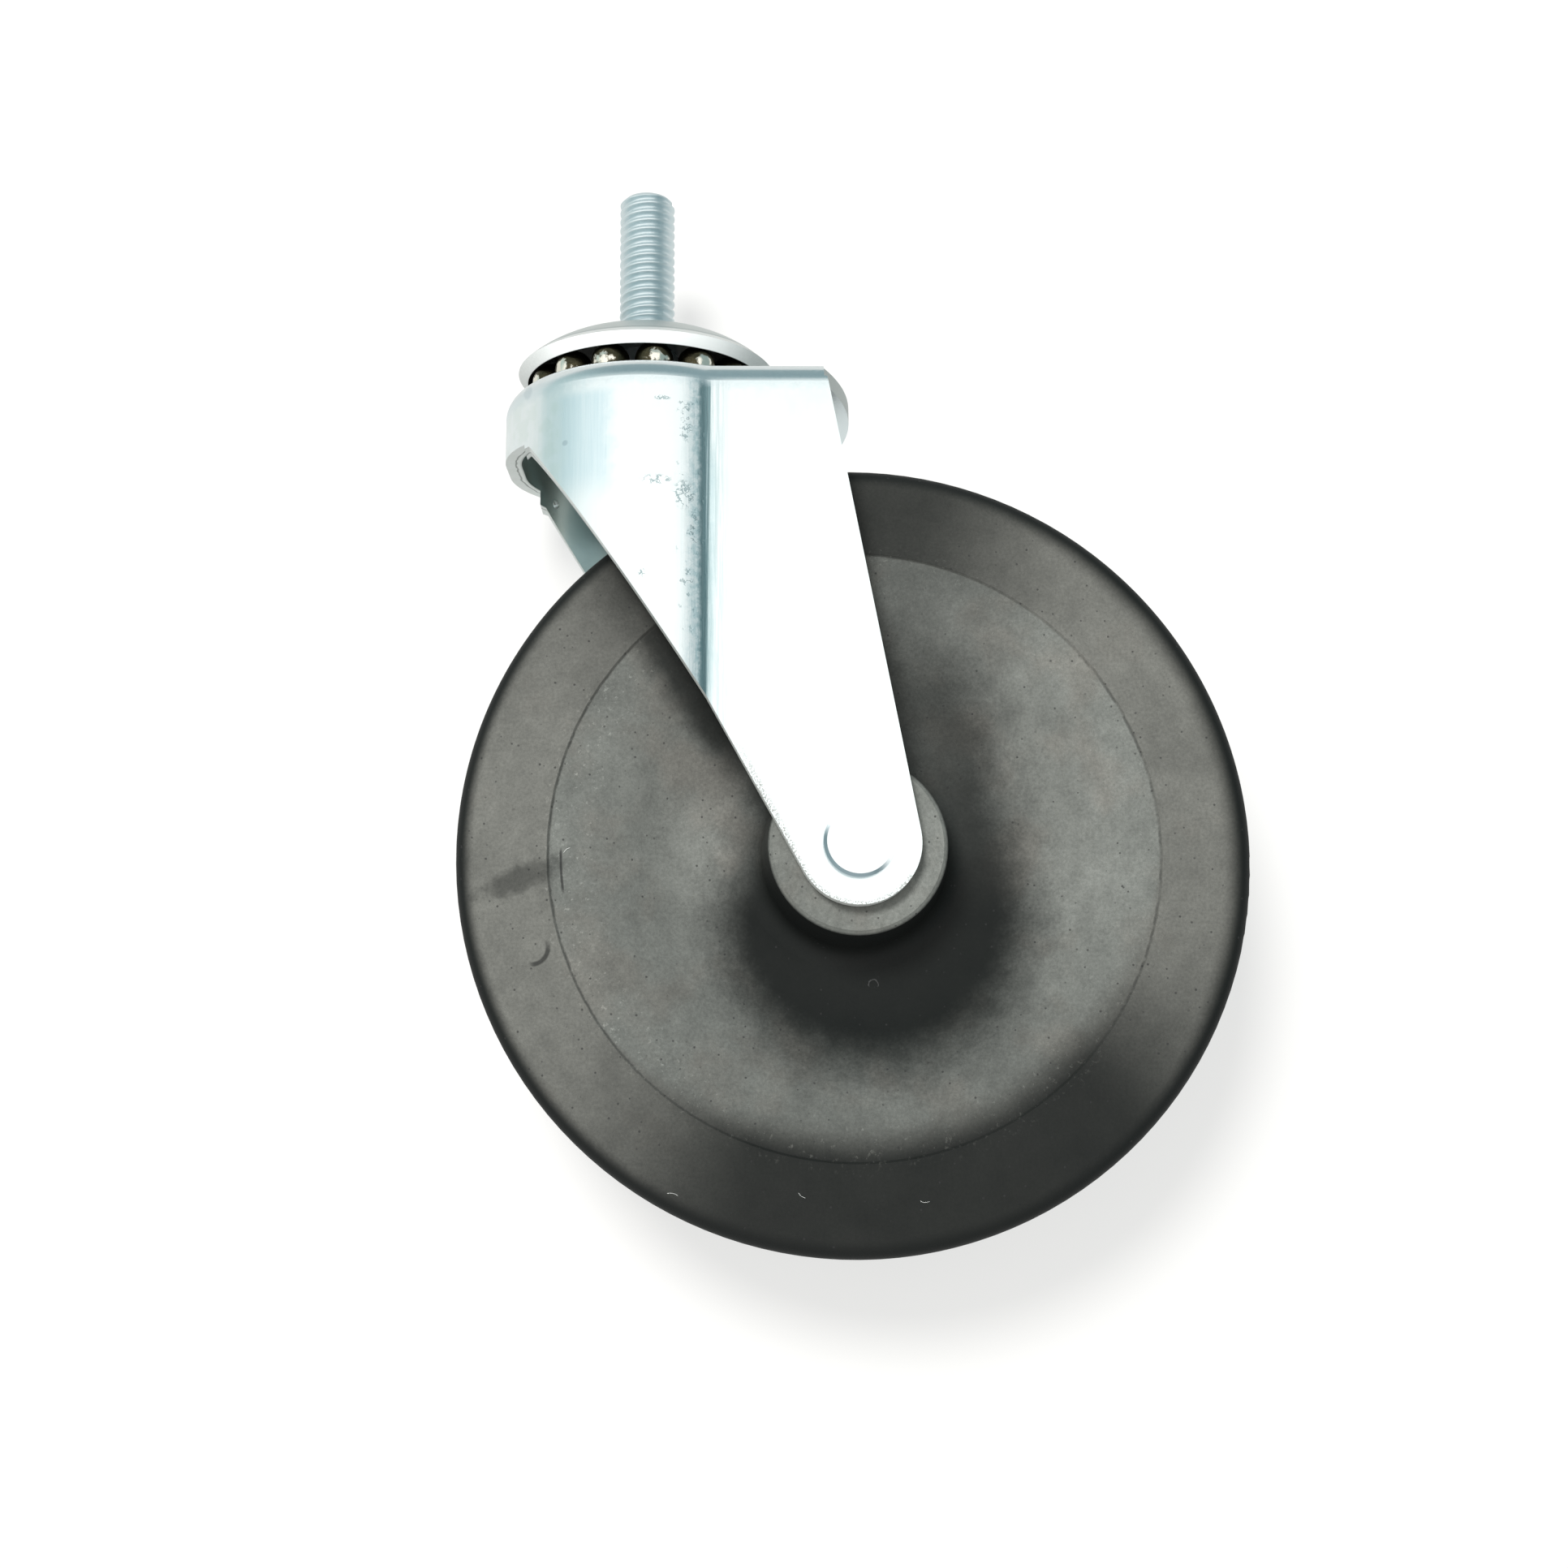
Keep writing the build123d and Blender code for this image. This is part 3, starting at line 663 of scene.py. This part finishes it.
cotton = Finish("lint_white", Roughness=0.9)
cotton_tone = cotton.blend(cotton.noise(0.3), (0.50, 0.50, 0.48), (0.80, 0.80, 0.78))
fibre_white = cotton.wear(cotton_tone)
tread_face, dish_face = -16.04, -15.72
fibres = [
    (-45.7, dish_face, 0.2),
    (-29.0, tread_face, -53.4),
    (-9.0, tread_face, -53.5),
    (9.9, tread_face, -54.5),
]
lint_mesh = bpy.data.meshes.new("lint_hairs")
lint_mesh.from_pydata([((axle_x + x) * mm, y * mm, (axle_z + z) * mm) for x, y, z in fibres], [], [])
lint_hairs = bpy.data.objects.new("lint_hairs", lint_mesh)
bpy.context.scene.collection.objects.link(lint_hairs)
grown(lint_hairs, "lint", lint, {"Seed": 4, "Shortest": 0.8, "Longest": 1.6, "Radius": 0.024 * mm})
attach(lint_hairs, "rolling_wheel")


# Stage: the pale table that the caster lies on in the photo, which stands upright here and
# lets the eye through from behind, a pale room and one soft lamp.
def lit(graph, colour, strength):
    return graph.node("ShaderNodeEmission", None, {"Color": (*colour, 1), "Strength": strength})


table_y = max(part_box("fork")[1].y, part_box("axle")[1].y) + 0.2 * mm
table_reach = 3.0
corners = [(-table_reach, table_y, -table_reach), (table_reach, table_y, -table_reach)]
corners += [(table_reach, table_y, table_reach), (-table_reach, table_y, table_reach)]
table_mesh = bpy.data.meshes.new("table")
table_mesh.from_pydata(corners, [], [(0, 1, 2, 3)])
table = bpy.data.objects.new("table", table_mesh)
bpy.context.scene.collection.objects.link(table)
white = bpy.data.materials.new("table_white")
white.use_nodes = True
paint = Graph(white.node_tree)
paint.tree.nodes.remove(paint.tree.nodes["Principled BSDF"])
card = paint.node("ShaderNodeBsdfDiffuse", None, {"Color": (0.62, 0.61, 0.585, 1)})
to_eye = paint.node("ShaderNodeMixShader", None, {0: 0.62, 1: card, 2: lit(paint, (1, 1, 1), 1.0)})
to_object = lit(paint, (0.84, 0.85, 0.83), 1.0)
seen = paint.node("ShaderNodeLightPath")
shown = paint.node("ShaderNodeMixShader", None, {0: seen, 1: to_object, 2: to_eye})
clear = paint.node("ShaderNodeBsdfTransparent")
behind = paint.node("ShaderNodeNewGeometry", output=6)
one_sided = paint.node("ShaderNodeMixShader", None, {0: behind, 1: shown, 2: clear})
paint.tree.links.new(one_sided.socket, paint.tree.nodes["Material Output"].inputs[0])
table_mesh.materials.append(white)

world = bpy.data.worlds.new("room")
world.use_nodes = True
room = Graph(world.node_tree)
room.tree.nodes.remove(room.tree.nodes["Background"])
rightward, overhead, upward = room.parts(room.node("ShaderNodeTexCoord"))
bright = room.step(-overhead - 0.3 * upward, 0.0, 0.80) * room.step(upward, 0.60, 0.36)
bright = bright * room.step(rightward, 0.64, 0.46)
dim = room.blend(room.step(rightward, -0.35, -0.80), (0.29, 0.39, 0.41), (0.50, 0.63, 0.63))
walls = room.blend(bright, dim, (1.30, 1.29, 1.26))
around = room.node("ShaderNodeBackground", None, {0: walls, 1: 1.0})
plain = room.node("ShaderNodeBackground", None, {0: (1, 1, 1, 1), 1: 1.0})
seen = room.node("ShaderNodeLightPath")
backdrop = room.node("ShaderNodeMixShader", None, {0: seen, 1: around, 2: plain})
room.tree.links.new(backdrop.socket, room.tree.nodes["World Output"].inputs[0])
bpy.context.scene.world = world

lamp_data = bpy.data.lights.new("lamp", "AREA")
lamp_data.shape = "DISK"
lamp_data.size = 0.3
lamp_data.energy = 14
lamp = bpy.data.objects.new("lamp", lamp_data)
lamp_place = Vector((-0.22, -0.93, 0.24))
aim = (Vector((0.02, 0, -0.07)) - lamp_place).to_track_quat("-Z", "Y")
lamp.matrix_world = Matrix.Translation(lamp_place) @ aim.to_matrix().to_4x4()
lamp.visible_glossy = False
bpy.context.scene.collection.objects.link(lamp)

bpy.context.scene.view_settings.view_transform = "Standard"
